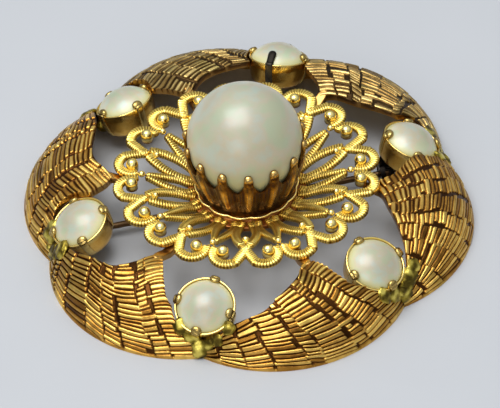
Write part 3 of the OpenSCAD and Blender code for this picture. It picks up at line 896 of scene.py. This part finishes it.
def make_cup(k):
    rng = random.Random(70 + k)
    b = Build()
    prof = rounded([(0.02, -CUP_D), (2.6, -CUP_D), (3.12, 0.42 - CUP_D), (3.4, 1.1 - CUP_D),
                    (CUP_R - 0.06, -0.8), (CUP_R, 0.18), (PEARL_R + 0.05, 0.18),
                    (PEARL_R + 0.05, -1.4), (2.4, -1.5), (2.4, 0.45 - CUP_D), (0.02, 0.4 - CUP_D)], 0.16)
    pts, faces = lathe(prof, 72)
    # painted light: the cup's flat top is lighter than its walls
    b.add(pts, faces, 0, [0.95 if z > 0.05 else 0.55 for x, y, z in pts])
    for a in range(0, 360, 90):
        claw(b, a + PRONG_TURN + rng.uniform(-3, 3), rng, worn=(k == WORN_CUP and a == WORN_AT))
    b.verts = moved(b.verts, cup_matrix(k))
    obj = b.object(f"side_cup_{k + 1}_polished", [cup_gold, claw_gold, claw_worn])
    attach(obj, "brooch")
    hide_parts(f"side_cup_{k + 1}")


def make_side_pearl(k):
    mid_z = PEARL_DOME - DOME_R
    prof = [(0, -1.48), (2.9, -1.48), (3.3, -1.35), (3.385, -0.9), (PEARL_R, -0.3)]
    prof += [(DOME_R * math.sin(t), mid_z + DOME_R * math.cos(t))
             for t in np.linspace(math.asin(PEARL_R / DOME_R) - 0.01, 0.03, 22)]
    prof.append((0, PEARL_DOME))
    pts, faces = lathe_capped(prof, 80)
    out = []
    for x, y, z in pts:
        f = 1 + 0.004 * noise.noise(Vector((x * 0.5 + 9 * k, y * 0.5, z * 0.5)))
        out.append((x * f, y * f, z))
    obj = make_object(f"side_pearl_{k + 1}_nacre", moved(out, cup_matrix(k)), faces, [pearl_small])
    set_attribute(obj, "relief", [z / PEARL_DOME for x, y, z in out])
    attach(obj, "brooch")
    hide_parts(f"side_pearl_{k + 1}")


def make_big_pearl():
    bm = bmesh.new()
    bmesh.ops.create_icosphere(bm, subdivisions=6, radius=1)
    verts = []
    for v in bm.verts:
        p = v.co.normalized()
        f = BIG_R * (1 + 0.0012 * noise.noise(p * 1.7) + 0.0005 * noise.noise(p * 6))
        verts.append((p.x * f, p.y * f, min(p.z * f, BIG_R) + BIG_Z))
    faces = [tuple(v.index for v in f.verts) for f in bm.faces]
    bm.free()
    obj = make_object("center_pearl_nacre", verts, faces, [pearl_big])
    set_attribute(obj, "relief", [(z - 9.0) / 10.0 for x, y, z in verts])
    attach(obj, "brooch")
    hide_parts("center_pearl")


# ---- solder: uneven lumps under each cup, and flatter ones beside it over the ends of the petals ----
LUMPS, UNDER_CUP = 12, 4
ROUND_LUMP, FLAT_LUMP = 0.75, 0.36      # thickness of a lump as a part of its width


def blob(b, seed, centre, normal, size, thick, k):
    """One lump of solder, flattened along normal."""
    bm = bmesh.new()
    bmesh.ops.create_icosphere(bm, subdivisions=3, radius=1)
    pts = []
    for v in bm.verts:
        f = size * (1 + 0.3 * noise.noise(v.co * 1.6 + seed) + 0.12 * noise.noise(v.co * 4 + seed))
        q = v.co * f
        q = centre + q - normal * (q.dot(normal) * (1 - thick))
        pts.append((q.x, q.y, max(0.15, q.z)))
    b.add(turn(pts, FRONT_TURN + 60 * k), [tuple(v.index for v in f.verts) for f in bm.faces], 0,
          [0.45 + 0.8 * noise.noise(Vector(q) * 1.3) for q in pts])
    bm.free()


def make_solder():
    b = Build()
    for k in range(6):
        rng = random.Random(90 + k)
        for i in range(LUMPS):
            seed = Vector((rng.uniform(0, 50), rng.uniform(0, 50), 0))
            if i < UNDER_CUP:
                x, y = rng.uniform(22.9, 24.6), rng.uniform(-1.7, 1.9)
                z = rng.uniform(1.0, 2.2) + CUP_OFF[k][2] * 0.6
                blob(b, seed, Vector((x, y, z)), Vector((0, 0, 1)), rng.uniform(0.8, 1.15),
                     ROUND_LUMP, k)
                continue
            y = -2.3 + 5.0 * (i - UNDER_CUP) / (LUMPS - UNDER_CUP - 1) + rng.uniform(-0.35, 0.35)
            x = rng.uniform(24.4, 25.2) - 0.06 * y * y
            d = np.array([x - RIM_MID[0], abs(y) - RIM_MID[1]])
            far = float(np.hypot(*d))
            slope = (float(dome_z(far + 0.05)) - float(dome_z(far - 0.05))) / 0.1
            over = 1 if y > 0 else -1
            normal = Vector((-slope * d[0] / far, -slope * d[1] / far * over, 1)).normalized()
            blob(b, seed, Vector((x, y, float(dome_z(far)) - 0.2)), normal, rng.uniform(0.75, 1.25),
                 FLAT_LUMP, k)
    obj = b.object("cup_solder_lumps", [solder_metal], sharp=False)
    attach(obj, "brooch")
    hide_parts("cup_solder_joints")


make_rosette()
make_crown()
for k in range(6):
    make_cup(k)
    make_side_pearl(k)
make_big_pearl()
make_solder()
for name, material in (("hinge_bracket", steel_dark), ("hinge_rivet", steel_pin),
                       ("pin_stem", steel_pin), ("catch_body", steel_dark),
                       ("catch_lock", steel_pin)):
    nodes[name].data.materials.clear()
    nodes[name].data.materials.append(material)


# ---- camera, light and floor ----
CAM_AZ, CAM_EL, CAM_ROLL, CAM_DIST = -11.9, 43.9, 2.74, 588.0
LENS, SENSOR = 347.256, 36.0
TARGET_Z = 7.0
CAM_RIGHT, CAM_DOWN = 0.4694, 4.0232    # how far the camera stands beside its line to the target


def make_camera():
    """The camera at the photograph's angle: turned and raised from the front, and rolled."""
    a, e = math.radians(CAM_AZ), math.radians(CAM_EL)
    back = Vector((math.sin(a) * math.cos(e), -math.cos(a) * math.cos(e), math.sin(e)))
    across = back.cross(Vector((0, 0, 1))).normalized() * -1
    up = back.cross(across)
    r = math.radians(CAM_ROLL)
    right = across * math.cos(r) - up * math.sin(r)
    top = across * math.sin(r) + up * math.cos(r)
    shift = right * CAM_RIGHT - top * CAM_DOWN
    data = bpy.data.cameras.new("camera")
    data.sensor_width = SENSOR
    data.lens = LENS
    data.clip_start, data.clip_end = 0.01, 10
    cam = bpy.data.objects.new("camera", data)
    bpy.context.scene.collection.objects.link(cam)
    axes = Matrix((right, top, back)).transposed().to_4x4()
    place = Vector((0, 0, TARGET_Z)) + back * CAM_DIST + shift
    cam.matrix_world = Matrix.Translation(place * MM) @ axes
    bpy.context.scene.camera = cam


def area_light(name, place, aim, size, power, colour=(1, 1, 1)):
    data = bpy.data.lights.new(name, "AREA")
    data.size = size
    data.energy = power
    data.color = colour
    obj = bpy.data.objects.new(name, data)
    bpy.context.scene.collection.objects.link(obj)
    obj.location = place
    obj.rotation_euler = (Vector(aim) - Vector(place)).to_track_quat("-Z", "Y").to_euler()


def make_stage():
    world = bpy.data.worlds.new("studio")
    bpy.context.scene.world = world
    world.use_nodes = True
    tree = world.node_tree
    sky = tree.nodes["Background"]
    way = tree.nodes.new("ShaderNodeTexCoord").outputs["Generated"]
    axes = tree.nodes.new("ShaderNodeSeparateXYZ")
    tree.links.new(way, axes.inputs[0])
    ramp = tree.nodes.new("ShaderNodeValToRGB")
    low, high = ramp.color_ramp.elements
    low.position, low.color = 0.0, (0.10, 0.10, 0.11, 1)
    high.position, high.color = 0.85, (0.62, 0.68, 0.76, 1)
    tree.links.new(axes.outputs["Z"], ramp.inputs["Fac"])
    tree.links.new(ramp.outputs["Color"], sky.inputs["Color"])
    sky.inputs["Strength"].default_value = 1.15
    area_light("window", (-0.12, 0.02, 0.58), (0, 0, 0), 0.42, 3.3, (0.99, 0.99, 1.0))
    area_light("fill", (-0.25, -0.5, 0.3), (0, 0, 0), 0.3, 0.7, (1.0, 0.96, 0.9))
    mesh = bpy.data.meshes.new("floor")
    half = 1.5
    mesh.from_pydata([(-half, -half, 0), (half, -half, 0), (half, half, 0), (-half, half, 0)], [],
                     [(0, 1, 2, 3)])
    floor = bpy.data.objects.new("floor", mesh)
    bpy.context.scene.collection.objects.link(floor)
    n = Nodes("pale_floor")
    n.colour(n.ramp(n.noise(30, 2), [(0.3, (0.415, 0.42, 0.425)), (0.7, (0.43, 0.435, 0.44))]))
    n.set(Roughness=0.6)
    mesh.materials.append(n.mat)
    bpy.context.scene.view_settings.view_transform = "Standard"


make_camera()
make_stage()
